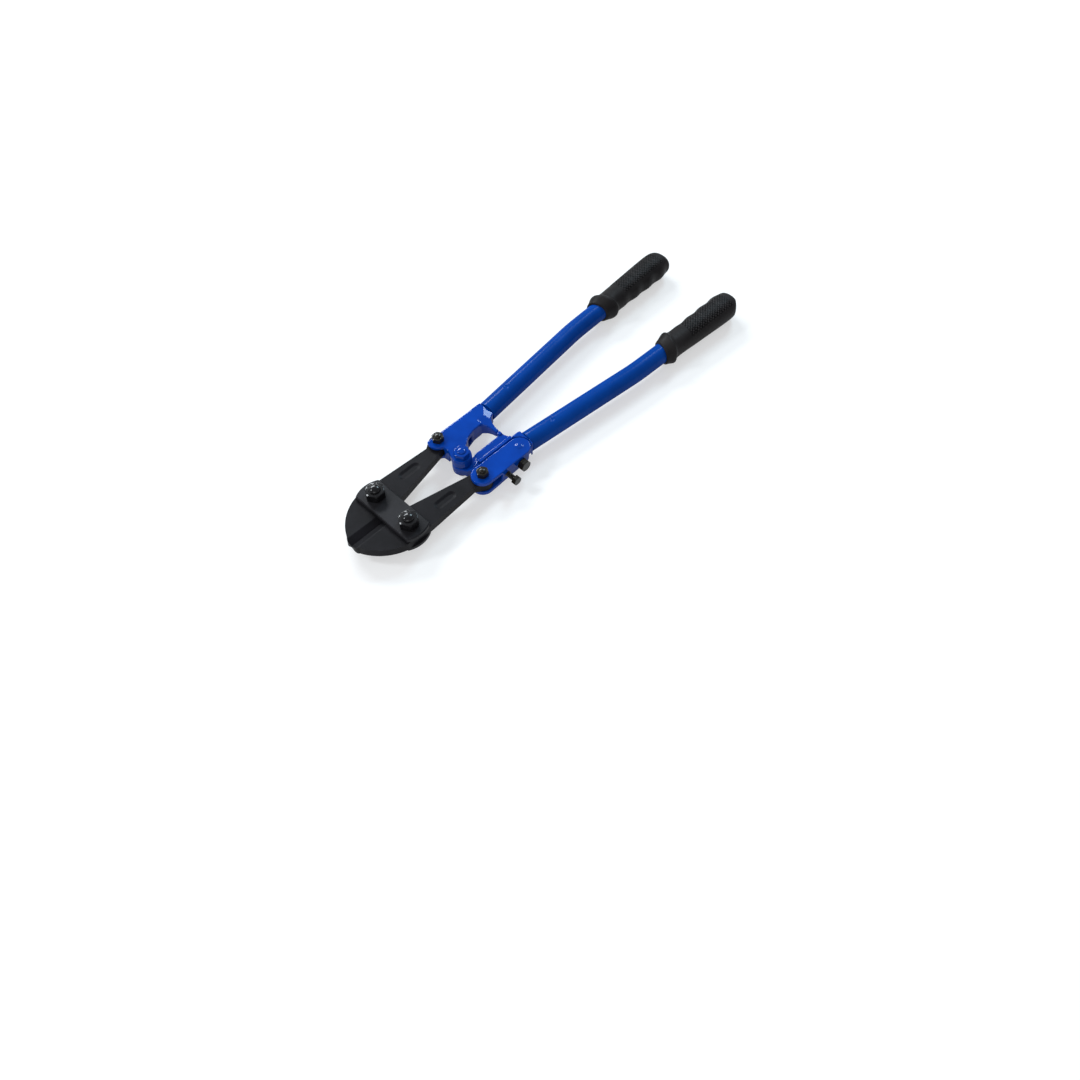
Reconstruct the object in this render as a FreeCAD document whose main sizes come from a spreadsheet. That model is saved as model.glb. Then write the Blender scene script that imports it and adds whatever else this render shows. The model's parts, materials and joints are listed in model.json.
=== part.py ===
import FreeCAD, Part
import math
import os
import re
import Sketcher

# Bolt cutters with a compound (toggle) head. X runs from the grips to the jaws, Y to the
# adjuster's side and Z up. The origin is on the centre pivot's axis, on the surface that
# the tool lies on. Heights inside each piece are measured from the tool's middle plane.

LEFT = 1
RIGHT = -1

# alias, millimetres (or degrees where the note says so), what it is
SIZES = [
    ("jaw_reach", 81, "centre pivot to the jaw bolts, along X"),
    ("nose_reach", 45.5, "jaw bolts to the blunt nose of the jaws"),
    ("jaw_bolt_offset", 21.2, "tool's centre line to a jaw bolt"),
    ("tail_bolt_offset", 28.4, "tool's centre line to a tail bolt"),
    ("tail_bolt_lead", 2.2, "how far the tail bolts lie ahead of the centre pivot"),
    ("jaw_depth", 8, "thickness of the jaws"),
    ("jaw_gap", 0.1, "half the gap between the closed cutting edges"),
    ("jaw_half_width", 34.2, "centre line to a jaw's outer edge at its bolt"),
    ("nose_flat", 4.5, "half width of the blunt nose"),
    ("blade_radius", 48.3, "radius of a blade's outer edge"),
    ("bevel_width", 6.3, "width of a cutting bevel, from the centre line"),
    ("edge_land", 1.7, "thickness of a cutting edge between its two bevels"),
    ("arm_root", 15.5, "jaw bolts to the start of the gap between the arms"),
    ("arm_root_offset", 6, "centre line to an arm's inner edge at its root"),
    ("tail_eye_radius", 9, "radius of the eye at a jaw's tail"),
    ("pill_length", 23, "length of the shallow recess in an arm"),
    ("pill_width", 9, "width of the shallow recess in an arm"),
    ("pill_depth", 1, "depth of the shallow recess in an arm"),
    ("plate_depth", 4, "thickness of a side plate"),
    ("plate_front", 12.7, "jaw bolts to the plates' front edge"),
    ("plate_rear", 13, "jaw bolts to the plates' rear edge"),
    ("plate_corner", 32.8, "centre line to a plate's corner"),
    ("plate_side_radius", 25, "radius of a plate's rounded side"),
    ("plate_chamfer", 0.8, "chamfer round a plate's outer face"),
    ("jaw_bolt_diameter", 10, "jaw bolts' shank"),
    ("jaw_bolt_hex", 16, "across the flats of the jaw bolts' heads and nuts"),
    ("jaw_nut_depth", 8.2, "thickness of a jaw nut"),
    ("jaw_head_depth", 6.6, "thickness of a jaw bolt's head"),
    ("tail_bolt_diameter", 6, "tail bolts' shank"),
    ("tail_bolt_hex", 10, "across the flats of the tail bolts' heads and nuts"),
    ("tail_head_depth", 4, "thickness of a tail bolt's head"),
    ("tail_nut_depth", 5, "thickness of a tail nut"),
    ("pivot_bolt_diameter", 8, "centre pivot bolt's shank"),
    ("pivot_hex", 13, "across the flats of the centre pivot's nut"),
    ("pivot_head_diameter", 13, "centre pivot bolt's round head"),
    ("pivot_head_rounding", 2, "how far the round head's edge is turned down"),
    ("pivot_nut_depth", 5, "thickness of the centre pivot's nut"),
    ("washer_diameter", 17.5, "centre pivot washers"),
    ("washer_depth", 1.2, "thickness of a centre pivot washer"),
    ("fit", 0.05, "radial clearance of a shaft in its own bore"),
    ("side_gap", 0.2, "gap beside a flat piece that turns between two others"),
    ("pivot_play", 1.8, "radial clearance of the lugs round the centre pivot bolt"),
    ("forging_depth", 16, "thickness of the handle forgings"),
    ("fork_radius", 9.8, "rounded front of the plain forging's fork"),
    ("forging_edge", 34.1, "centre line to the plain forging's outer edge"),
    ("lug_radius", 9.1, "centre pivot lugs"),
    ("lug_clearance_radius", 12.4, "space each forging leaves round the other's lug"),
    ("window_offset", 14, "centre line to the far wall of the window"),
    ("window_rear", 42.4, "centre pivot to the stops, which close the window"),
    ("stop_width", 3.8, "length of the stop faces along X"),
    ("stop_depth", 6, "height of the stop faces"),
    ("pocket_place", 18.5, "centre pivot to the pocket in the window's wall, along X"),
    ("pocket_length", 6, "length of the wall pocket along X"),
    ("pocket_mouth", 6, "centre line to a line inside the window, where the pocket's cut starts"),
    ("pocket_end", 17, "centre line to the end of the wall pocket"),
    ("pocket_top", 2.5, "height of the pocket's roof above the middle plane"),
    ("pocket_height", 8, "height of the wall pocket"),
    ("facet_turn", 46, "degrees from X to the facet's long side, seen from above"),
    ("facet_tilt", 15, "degrees that the facet slopes down"),
    ("facet_length", 13.3, "length of the facet's long side"),
    ("facet_lead", 1.1, "how far ahead of the tube the facet starts"),
    ("facet_offset", 2.4, "tube's axis to the facet's outer corner"),
    ("stop_gap", 0.15, "half the gap between the two closed stops"),
    ("tube_start", 55, "centre pivot to the front end of a tube, along X"),
    ("tube_start_offset", 25.9, "centre line to a tube's axis at its front end"),
    ("tube_diameter", 19, "outside of a tube"),
    ("tube_wall", 1.6, "wall of a tube"),
    ("tube_straight", 125, "straight front stretch of a tube"),
    ("bend_radius", 250, "radius of the slight bend ahead of the grips"),
    ("handle_angle", 6.1, "degrees between a tube and the centre line, ahead of the bend"),
    ("rear_angle", 2, "degrees between a tube and the centre line, behind the bend"),
    ("tube_rear_length", 127.4, "straight rear stretch of a tube"),
    ("spigot_length", 34, "length of a forging's spigot inside its tube"),
    ("dimple_place", 30, "front end of a tube to its crimp dimple"),
    ("dimple_radius", 5, "radius of the ball that makes a crimp dimple"),
    ("dimple_depth", 0.8, "depth of a crimp dimple"),
    ("grip_length", 109, "length of a grip"),
    ("grip_end_wall", 6, "rubber behind the end of the tube"),
    ("rim_slant", 6, "how much further back a grip's rim starts on its inner side"),
    ("end_cut", 9, "length cut off the outer corner of a grip's end"),
    ("grip_rim_radius", 11.3, "outside of a grip's front rim"),
    ("grip_collar_radius", 14.6, "outside of a grip's flared collar"),
    ("grip_neck_radius", 12.3, "outside of a grip just behind its collar"),
    ("grip_body_radius", 14.3, "outside of a grip near its end"),
    ("lever_radius", 10.4, "rounded front of the adjusting lever"),
    ("lever_rear_radius", 10.3, "rounded rear of the adjusting lever's upper cheek"),
    ("lever_low_radius", 8.6, "rounded rear of the adjusting lever's lower cheek"),
    ("lever_pin_place", 42.8, "centre pivot to the lever's pin, along X"),
    ("lever_pin_offset", 28.8, "centre line to the lever's pin"),
    ("lever_pin_diameter", 7, "lever's pin"),
    ("lever_wall", 2.8, "outer wall of the adjusting lever"),
    ("lever_wall_front", 12, "centre pivot to the front of the lever's outer wall"),
    ("lever_gap", 0.6, "gap between the lever's rear and the forging's shoulder"),
    ("bar_offset", 3, "centre line to the inner edge of the adjuster forging's bar"),
    ("bar_outer", 16.2, "centre line to the outer edge of the bar"),
    ("bar_top", 1.5, "height of the bar's top above the middle plane"),
    ("rib_top", 5.5, "height of the bar's rib above the middle plane"),
    ("tongue_outer", 31, "centre line to the tongue's outer edge"),
    ("pin_eye_radius", 6.9, "radius of the tongue's eye round the lever's pin"),
    ("adjusting_screw_diameter", 5, "adjusting screw"),
    ("adjusting_screw_hex", 8, "across the flats of the adjusting screw's head"),
    ("adjusting_head_depth", 4, "thickness of the adjusting screw's head"),
    ("adjusting_screw_place", 18, "centre pivot to the adjusting screw, along X"),
    ("adjusting_screw_shank", 16.2, "adjusting screw under its head"),
    ("adjusting_screw_gap", 0.4, "gap between the adjusting screw's tip and the tongue"),
    ("locking_screw_place", 35, "centre pivot to the locking screw, along X"),
    ("locking_screw_diameter", 6, "locking screw"),
    ("locking_screw_hex", 10, "across the flats of the locking screw's head and nut"),
    ("locking_head_depth", 3.4, "thickness of the locking screw's head"),
    ("locking_screw_grip", 9, "length of the locking screw's thread in the tongue"),
    ("locking_nut_depth", 2.6, "thickness of the locking nut"),
    ("locking_nut_gap", 0.3, "gap between the locking nut and the lever"),
]

# Places that several pieces share, written in terms of the sizes
MIDDLE_HEIGHT = "forging_depth / 2 + jaw_head_depth"
TAIL_REACH = "(jaw_reach - tail_bolt_lead)"
HALF_FORGING = "forging_depth / 2"
HALF_JAW = "jaw_depth / 2"
HALF_SLOT = "(jaw_depth / 2 + side_gap)"
PLATE_TOP = "(jaw_depth / 2 + plate_depth)"
LEVER_OUTER = "(tail_bolt_offset + lever_radius)"
LEVER_REAR_OUTER = "(lever_pin_offset + lever_rear_radius)"
SPIGOT_RADIUS = "(tube_diameter / 2 - tube_wall - fit)"
FRONT_ANGLE = "(handle_angle * 1 deg)"
REAR_ANGLE = "(rear_angle * 1 deg)"
DOME_DEPTH = "2.6"
SMALL_DOME_DEPTH = "1.2"
PIN_DOME_DEPTH = "0.8"
BOLT_END = "0.7"
HEX_FACE_SHARE = "0.475"  # radius of a hexagon's flat end, as a share of its width across flats
HEX_CHAMFER_RUN = "1.73"  # outward run of a hexagon's corner cone for each millimetre of height
EYE_ROOM = "0.5"  # gap round a jaw's tail eye inside a slot
LOCKING_ROOM = "0.7"  # gap round the locking screw where it passes through the lever
TUBE_FACE_GAP = "0.2"  # gap between a forging's end face and its tube
SPIGOT_ROOT = "0.8"  # length of a spigot inside its forging
CLEAR_OF_PIECE = "30"  # how far a slot's outline runs out past the piece it opens
SMALL_BOLT_END = "0.4"
ABOVE_ALL = "40"
BELOW_ALL = "-40"
HALF_THROUGH = "40"
THROUGH_ALL = "80"

doc = FreeCAD.newDocument("bolt_cutters")
sheet = doc.addObject("Spreadsheet::Sheet", "Sizes")
for row, (alias, number, note) in enumerate(SIZES, start=1):
    sheet.set(f"A{row}", alias)
    sheet.set(f"B{row}", str(number))
    sheet.setAlias(f"B{row}", alias)
    sheet.set(f"C{row}", note)
doc.recompute()

ALIASES = {alias for alias, number, note in SIZES}
finished = []


def bound(text):
    """Give a text of sizes the form that an expression needs."""
    return re.sub(r"[a-z_]+", lambda word: "Sizes." + word[0] if word[0] in ALIASES else word[0], text)


def value(text):
    """Work out a text of sizes as a number."""
    answer = sheet.evalExpression(bound(text))
    return float(getattr(answer, "Value", answer))


def finish(thing, label):
    thing.Label = label
    finished.append(thing)
    return thing


# ---- sketches and features of a body ----

def new_body(label, side=0, x="0", y="0", turn=None):
    """A body at a place, lifted to the middle plane and, where asked, turned outwards."""
    body = doc.addObject("PartDesign::Body", label)
    if turn:
        axis = FreeCAD.Vector(0, 0, -side)
        body.Placement = FreeCAD.Placement(FreeCAD.Vector(), FreeCAD.Rotation(axis, value(turn)))
        body.setExpression("Placement.Rotation.Angle", bound(turn + " * 1 deg"))
    body.setExpression("Placement.Base.x", bound(x))
    body.setExpression("Placement.Base.y", bound(y))
    body.setExpression("Placement.Base.z", bound(MIDDLE_HEIGHT))
    return body


def new_sketch(body, name, height="0", plane="XY_Plane"):
    sketch = body.newObject("Sketcher::SketchObject", body.Name + "_" + name)
    origin_plane = [item for item in body.Origin.OriginFeatures if item.Role == plane][0]
    sketch.AttachmentSupport = (origin_plane, "")
    sketch.MapMode = "FlatFace"
    sketch.setExpression("AttachmentOffset.Base.z", bound(height))
    return sketch


def bind(sketch, kind, edge, point, text):
    arguments = [kind, edge] + ([point] if point else []) + [value(text)]
    index = sketch.addConstraint(Sketcher.Constraint(*arguments))
    sketch.setExpression(f"Constraints[{index}]", bound(text))


def arc_between(start, end, radius, side):
    """The shorter arc between two points; side 1 turns left on the way, side -1 right."""
    chord = end - start
    rise = math.sqrt(max(radius ** 2 - (chord.Length / 2) ** 2, 0))
    across = FreeCAD.Vector(-chord.y, chord.x, 0) * (side * rise / chord.Length)
    centre = (start + end) * 0.5 + across
    first, last = (start, end) if side > 0 else (end, start)
    angles = [math.atan2((point - centre).y, (point - centre).x) for point in (first, last)]
    if angles[1] < angles[0]:
        angles[1] += 2 * math.pi
    return Part.ArcOfCircle(Part.Circle(centre, FreeCAD.Vector(0, 0, 1), radius), *angles)


def draw_outline(sketch, corners, arcs=None, closed=True):
    """Lines and arcs from corner to corner, each corner bound to the sizes."""
    arcs = arcs or {}
    points = [FreeCAD.Vector(value(x), value(y), 0) for x, y in corners]
    count = len(points) if closed else len(points) - 1
    edges = []
    for index in range(count):
        start, end = points[index], points[(index + 1) % len(points)]
        if index in arcs:
            radius, side = arcs[index]
            geometry = sketch.addGeometry(arc_between(start, end, value(radius), side), False)
            edges.append((geometry, 1, 2) if side > 0 else (geometry, 2, 1))
        else:
            edges.append((sketch.addGeometry(Part.LineSegment(start, end), False), 1, 2))
    for index in range(count if closed else count - 1):
        geometry, first, last = edges[index]
        following, following_first, following_last = edges[(index + 1) % count]
        sketch.addConstraint(
            Sketcher.Constraint("Coincident", geometry, last, following, following_first))
    for index, (x, y) in enumerate(corners):
        geometry, first, last = edges[min(index, count - 1)]
        point = first if index < count else last
        bind(sketch, "DistanceX", geometry, point, x)
        bind(sketch, "DistanceY", geometry, point, y)
    for index, (radius, side) in arcs.items():
        bind(sketch, "Radius", edges[index][0], None, radius)
    return sketch


def draw_circle(sketch, x, y, radius):
    centre = FreeCAD.Vector(value(x), value(y), 0)
    circle = Part.Circle(centre, FreeCAD.Vector(0, 0, 1), value(radius))
    edge = sketch.addGeometry(circle, False)
    bind(sketch, "DistanceX", edge, 3, x)
    bind(sketch, "DistanceY", edge, 3, y)
    bind(sketch, "Radius", edge, None, radius)
    return sketch


def pad(sketch, depth):
    """Raise a sketch by a depth, upwards."""
    body = sketch.getParentGeoFeatureGroup()
    feature = body.newObject("PartDesign::Pad", sketch.Name + "_pad")
    feature.Profile = sketch
    feature.setExpression("Length", bound(depth))
    sketch.Visibility = False
    return feature


def cut(sketch, depth, upwards=False):
    """Cut a sketch into the body, downwards unless asked."""
    body = sketch.getParentGeoFeatureGroup()
    doc.recompute()
    before = body.Shape.Volume
    feature = body.newObject("PartDesign::Pocket", sketch.Name + "_cut")
    feature.Profile = sketch
    feature.setExpression("Length", bound(depth))
    feature.Reversed = upwards
    doc.recompute()
    if not feature.Shape.Volume < before:
        raise RuntimeError(feature.Name + " cuts nothing")
    return feature


def mirrored(corners, side):
    """The same corners on the other side of the centre line."""
    return [(x, f"{side} * ({y})") for x, y in corners]


def mirrored_arcs(arcs, side):
    return {index: (radius, side * turn) for index, (radius, turn) in arcs.items()}


# ---- primitives for the fasteners ----

def place(thing, x, y, z):
    for axis, text in zip("xyz", (x, y, z)):
        thing.setExpression("Placement.Base." + axis, bound(text))
    return thing


def cylinder(name, radius, depth, x="0", y="0", z="0"):
    thing = doc.addObject("Part::Cylinder", name)
    thing.setExpression("Radius", bound(radius))
    thing.setExpression("Height", bound(depth))
    return place(thing, x, y, z)


def cone(name, low_radius, high_radius, depth, x="0", y="0", z="0"):
    thing = doc.addObject("Part::Cone", name)
    thing.setExpression("Radius1", bound(low_radius))
    thing.setExpression("Radius2", bound(high_radius))
    thing.setExpression("Height", bound(depth))
    return place(thing, x, y, z)


def dome(name, radius, depth, x="0", y="0", z="0"):
    """The rounded end of a bolt: the upper half of a flattened ball."""
    thing = doc.addObject("Part::Ellipsoid", name)
    thing.setExpression("Radius1", bound(depth))
    thing.setExpression("Radius2", bound(radius))
    thing.setExpression("Radius3", bound(radius))
    thing.Angle1 = 0
    return place(thing, x, y, z)


def hexagon(name, across, depth, x="0", y="0", z="0", chamfers="both"):
    """A six-sided head or nut with its corners turned off."""
    prism = doc.addObject("Part::Prism", name + "_prism")
    prism.Polygon = 6
    prism.setExpression("Circumradius", bound(f"({across}) / sqrt(3)"))
    prism.setExpression("Height", bound(depth))
    place(prism, x, y, z)
    face_radius = f"{HEX_FACE_SHARE} * ({across})"
    wide_radius = f"{face_radius} + {HEX_CHAMFER_RUN} * ({depth})"
    solids = [prism]
    if chamfers in ("both", "top"):
        solids.append(cone(name + "_top", wide_radius, face_radius, depth, x, y, z))
    if chamfers in ("both", "bottom"):
        solids.append(cone(name + "_bottom", face_radius, wide_radius, depth, x, y, z))
    common = doc.addObject("Part::MultiCommon", name + "_hexagon")
    common.Shapes = solids
    return common


def fused(name, solids):
    fuse = doc.addObject("Part::MultiFuse", name)
    fuse.Shapes = solids
    return fuse


def bored(name, solid, radius, x="0", y="0", z=BELOW_ALL, depth=THROUGH_ALL):
    bore = doc.addObject("Part::Cut", name)
    bore.Base = solid
    bore.Tool = cylinder(name + "_bore", radius, depth, x, y, z)
    return bore


def on_middle_plane(text):
    """A height above the middle plane, as a height above the surface under the tool."""
    return f"{MIDDLE_HEIGHT} + ({text})"


# ---- the head ----

def build_side_plate(label, level):
    body = new_body(label)
    bottom = HALF_JAW if level > 0 else "-" + PLATE_TOP
    corners = [
        ("jaw_reach + plate_front", "plate_corner"),
        ("jaw_reach - plate_rear", "plate_corner"),
        ("jaw_reach - plate_rear", "-plate_corner"),
        ("jaw_reach + plate_front", "-plate_corner"),
    ]
    sides = {0: ("plate_side_radius", 1), 2: ("plate_side_radius", 1)}
    pad(draw_outline(new_sketch(body, "outline", bottom), corners, sides), "plate_depth")
    holes = new_sketch(body, "holes", ABOVE_ALL)
    for side in (LEFT, RIGHT):
        draw_circle(holes, "jaw_reach", f"{side} * jaw_bolt_offset", "jaw_bolt_diameter / 2 + fit")
    cut(holes, THROUGH_ALL)
    outer_face = max(body.Shape.Faces, key=lambda face: level * face.CenterOfMass.z)
    rim = [
        f"Edge{number}"
        for number, edge in enumerate(body.Shape.Edges, start=1)
        if any(edge.isSame(other) for other in outer_face.OuterWire.Edges)
    ]
    base = body.Tip
    chamfer = body.newObject("PartDesign::Chamfer", label + "_chamfer")
    chamfer.Base = (base, rim)
    chamfer.setExpression("Size", bound("plate_chamfer"))
    body.Tip = chamfer
    return finish(body, label)


def build_jaw(label, side):
    body = new_body(label)
    outline = [
        ("nose_reach", "jaw_gap"),
        ("nose_reach", "nose_flat - 2"),
        ("nose_reach - 2.2", "nose_flat + 3.4"),
        ("plate_front", "jaw_half_width"),
        ("-arm_root", "jaw_half_width - 0.3"),
        (f"12.2 - {TAIL_REACH}", "tail_bolt_offset + 2.5"),
        (f"0.64 * tail_eye_radius - {TAIL_REACH}", "tail_bolt_offset + 0.768 * tail_eye_radius"),
        (f"-{TAIL_REACH}", "tail_bolt_offset"),
        (f"0.17 * tail_eye_radius - {TAIL_REACH}", "tail_bolt_offset - 0.985 * tail_eye_radius"),
        ("-arm_root", "arm_root_offset"),
        ("6", "jaw_gap"),
    ]
    corners = mirrored([("jaw_reach + " + x, y) for x, y in outline], side)
    arcs = mirrored_arcs({1: ("6", 1), 2: ("blade_radius", 1)}, side)
    pad(draw_outline(new_sketch(body, "outline", "-" + HALF_JAW), corners, arcs), "jaw_depth")
    eye = new_sketch(body, "eye", "-" + HALF_JAW)
    pad(draw_circle(eye, "tail_bolt_lead", f"{side} * tail_bolt_offset", "tail_eye_radius"), "jaw_depth")

    # the two bevels of the cutting edge, one from each face
    slope = "(jaw_depth / 2 - edge_land / 2) / (bevel_width - jaw_gap)"
    for level in (1, -1):
        bevel = [
            ("-1", f"edge_land / 2 - {slope} * (1 + jaw_gap)"),
            ("bevel_width + 1", f"jaw_depth / 2 + {slope}"),
            ("-1", f"jaw_depth / 2 + {slope}"),
        ]
        points = [(f"{side} * ({y})", f"{level} * ({z})") for y, z in bevel]
        sketch = new_sketch(body, "bevel_top" if level > 0 else "bevel_bottom", "jaw_reach + 8", "YZ_Plane")
        cut(draw_outline(sketch, points), HALF_THROUGH, upwards=True)

    bolt_holes = new_sketch(body, "holes", ABOVE_ALL)
    draw_circle(bolt_holes, "jaw_reach", f"{side} * jaw_bolt_offset", "jaw_bolt_diameter / 2 + fit")
    draw_circle(bolt_holes, "tail_bolt_lead", f"{side} * tail_bolt_offset", "tail_bolt_diameter / 2 + fit")
    cut(bolt_holes, THROUGH_ALL)

    # a shallow pill-shaped recess in both faces of the arm
    along, across = f"jaw_reach - {TAIL_REACH} / 2", "tail_bolt_offset - 5.6"
    half_run, half_width = "(pill_length / 2 - pill_width / 2)", "pill_width / 2"
    pill = [
        (f"{along} + {half_run}", f"{across} + {half_width}"),
        (f"{along} - {half_run}", f"{across} + {half_width}"),
        (f"{along} - pill_length / 2", across),
        (f"{along} - {half_run}", f"{across} - {half_width}"),
        (f"{along} + {half_run}", f"{across} - {half_width}"),
        (f"{along} + pill_length / 2", across),
    ]
    quarters = mirrored_arcs({index: (half_width, 1) for index in (1, 2, 4, 5)}, side)
    for name, height, upwards in (("pill_top", HALF_JAW, False), ("pill_bottom", "-" + HALF_JAW, True)):
        sketch = draw_outline(new_sketch(body, name, height), mirrored(pill, side), quarters)
        cut(sketch, "pill_depth", upwards)
    return finish(body, label)


def build_jaw_bolt(label, side):
    x, y = "jaw_reach", f"{side} * jaw_bolt_offset"
    nut_top = f"{PLATE_TOP} + jaw_nut_depth + {BOLT_END}"
    bottom = f"-({PLATE_TOP} + jaw_head_depth)"
    solids = [
        hexagon(label + "_head", "jaw_bolt_hex", "jaw_head_depth", x, y, on_middle_plane(bottom)),
        cylinder(label + "_shank", "jaw_bolt_diameter / 2", f"{nut_top} - ({bottom})", x, y,
                 on_middle_plane(bottom)),
        dome(label + "_dome", "jaw_bolt_diameter / 2", DOME_DEPTH, x, y, on_middle_plane(nut_top)),
    ]
    return finish(fused(label + "_bolt", solids), label)


def build_nut(label, across, depth, bore_radius, x, y, bottom):
    nut = hexagon(label + "_nut", across, depth, x, y, on_middle_plane(bottom))
    return finish(bored(label + "_bored", nut, bore_radius, x, y), label)


# ---- tail bolts and the centre pivot ----

def build_tail_bolt(label, side):
    x, y = "tail_bolt_lead", f"{side} * tail_bolt_offset"
    bottom = f"-({HALF_FORGING} + tail_head_depth)"
    thread_top = f"{HALF_FORGING} + tail_nut_depth + {SMALL_BOLT_END}"
    solids = [
        hexagon(label + "_head", "tail_bolt_hex", "tail_head_depth", x, y, on_middle_plane(bottom)),
        cylinder(label + "_shank", "tail_bolt_diameter / 2", f"{thread_top} - ({bottom})", x, y,
                 on_middle_plane(bottom)),
        dome(label + "_dome", "tail_bolt_diameter / 2", SMALL_DOME_DEPTH, x, y,
             on_middle_plane(thread_top)),
    ]
    return finish(fused(label + "_bolt", solids), label)


def build_centre_pivot():
    washer_bottom = f"{HALF_FORGING} + side_gap / 2"
    washer_top = f"({washer_bottom} + washer_depth)"
    thread_top = f"{washer_top} + pivot_nut_depth + {SMALL_BOLT_END}"
    lowest = f"-({MIDDLE_HEIGHT})"
    head_radius = "(pivot_head_diameter / 2)"
    solids = [
        cone("pivot_head_edge", f"{head_radius} - pivot_head_rounding", head_radius,
             "pivot_head_rounding", z=on_middle_plane(lowest)),
        cylinder("pivot_head", head_radius, f"{MIDDLE_HEIGHT} - {washer_top} - pivot_head_rounding",
                 z=on_middle_plane(f"{lowest} + pivot_head_rounding")),
        cylinder("pivot_shank", "pivot_bolt_diameter / 2", f"{thread_top} + {MIDDLE_HEIGHT}",
                 z=on_middle_plane(lowest)),
        dome("pivot_dome", "pivot_bolt_diameter / 2", SMALL_DOME_DEPTH, z=on_middle_plane(thread_top)),
    ]
    finish(fused("pivot_bolt", solids), "centre_pivot_bolt")
    build_nut("centre_pivot_nut", "pivot_hex", "pivot_nut_depth", "pivot_bolt_diameter / 2 + fit",
              "0", "0", washer_top)
    washers = [
        cylinder("washer_above", "washer_diameter / 2", "washer_depth",
                 z=on_middle_plane(washer_bottom)),
        cylinder("washer_below", "washer_diameter / 2", "washer_depth",
                 z=on_middle_plane("-" + washer_top)),
    ]
    both = doc.addObject("Part::Compound", "washer_pair")
    both.Links = washers
    finish(bored("washers_bored", both, "pivot_bolt_diameter / 2 + fit"), "centre_pivot_washers")


# ---- handles ----

def tube_face(y):
    """Where a forging ends, just ahead of its tube's square front end."""
    return (f"{TUBE_FACE_GAP} - tube_start + ({y} - tube_start_offset) * tan({FRONT_ANGLE})", y)


def build_spigot(label, side):
    """The round end of a forging that its tube is pressed over."""
    body = new_body(label, side, "-tube_start", f"{side} * tube_start_offset", "handle_angle")
    sketch = new_sketch(body, "section", SPIGOT_ROOT, "YZ_Plane")
    draw_circle(sketch, "0", "0", SPIGOT_RADIUS)
    feature = pad(sketch, f"spigot_length + {SPIGOT_ROOT}")
    feature.Reversed = True
    ball = body.newObject("PartDesign::SubtractiveSphere", label + "_dimple")
    place_dimple(ball, f"{SPIGOT_RADIUS} - dimple_depth")
    return body


def place_dimple(ball, floor):
    """A crimp dimple's ball, so that its lowest point is at a height over the tube's axis."""
    ball.setExpression("Radius", bound("dimple_radius"))
    ball.setExpression("AttachmentOffset.Base.x", bound("-dimple_place"))
    ball.setExpression("AttachmentOffset.Base.z", bound(f"{floor} + dimple_radius"))


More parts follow.
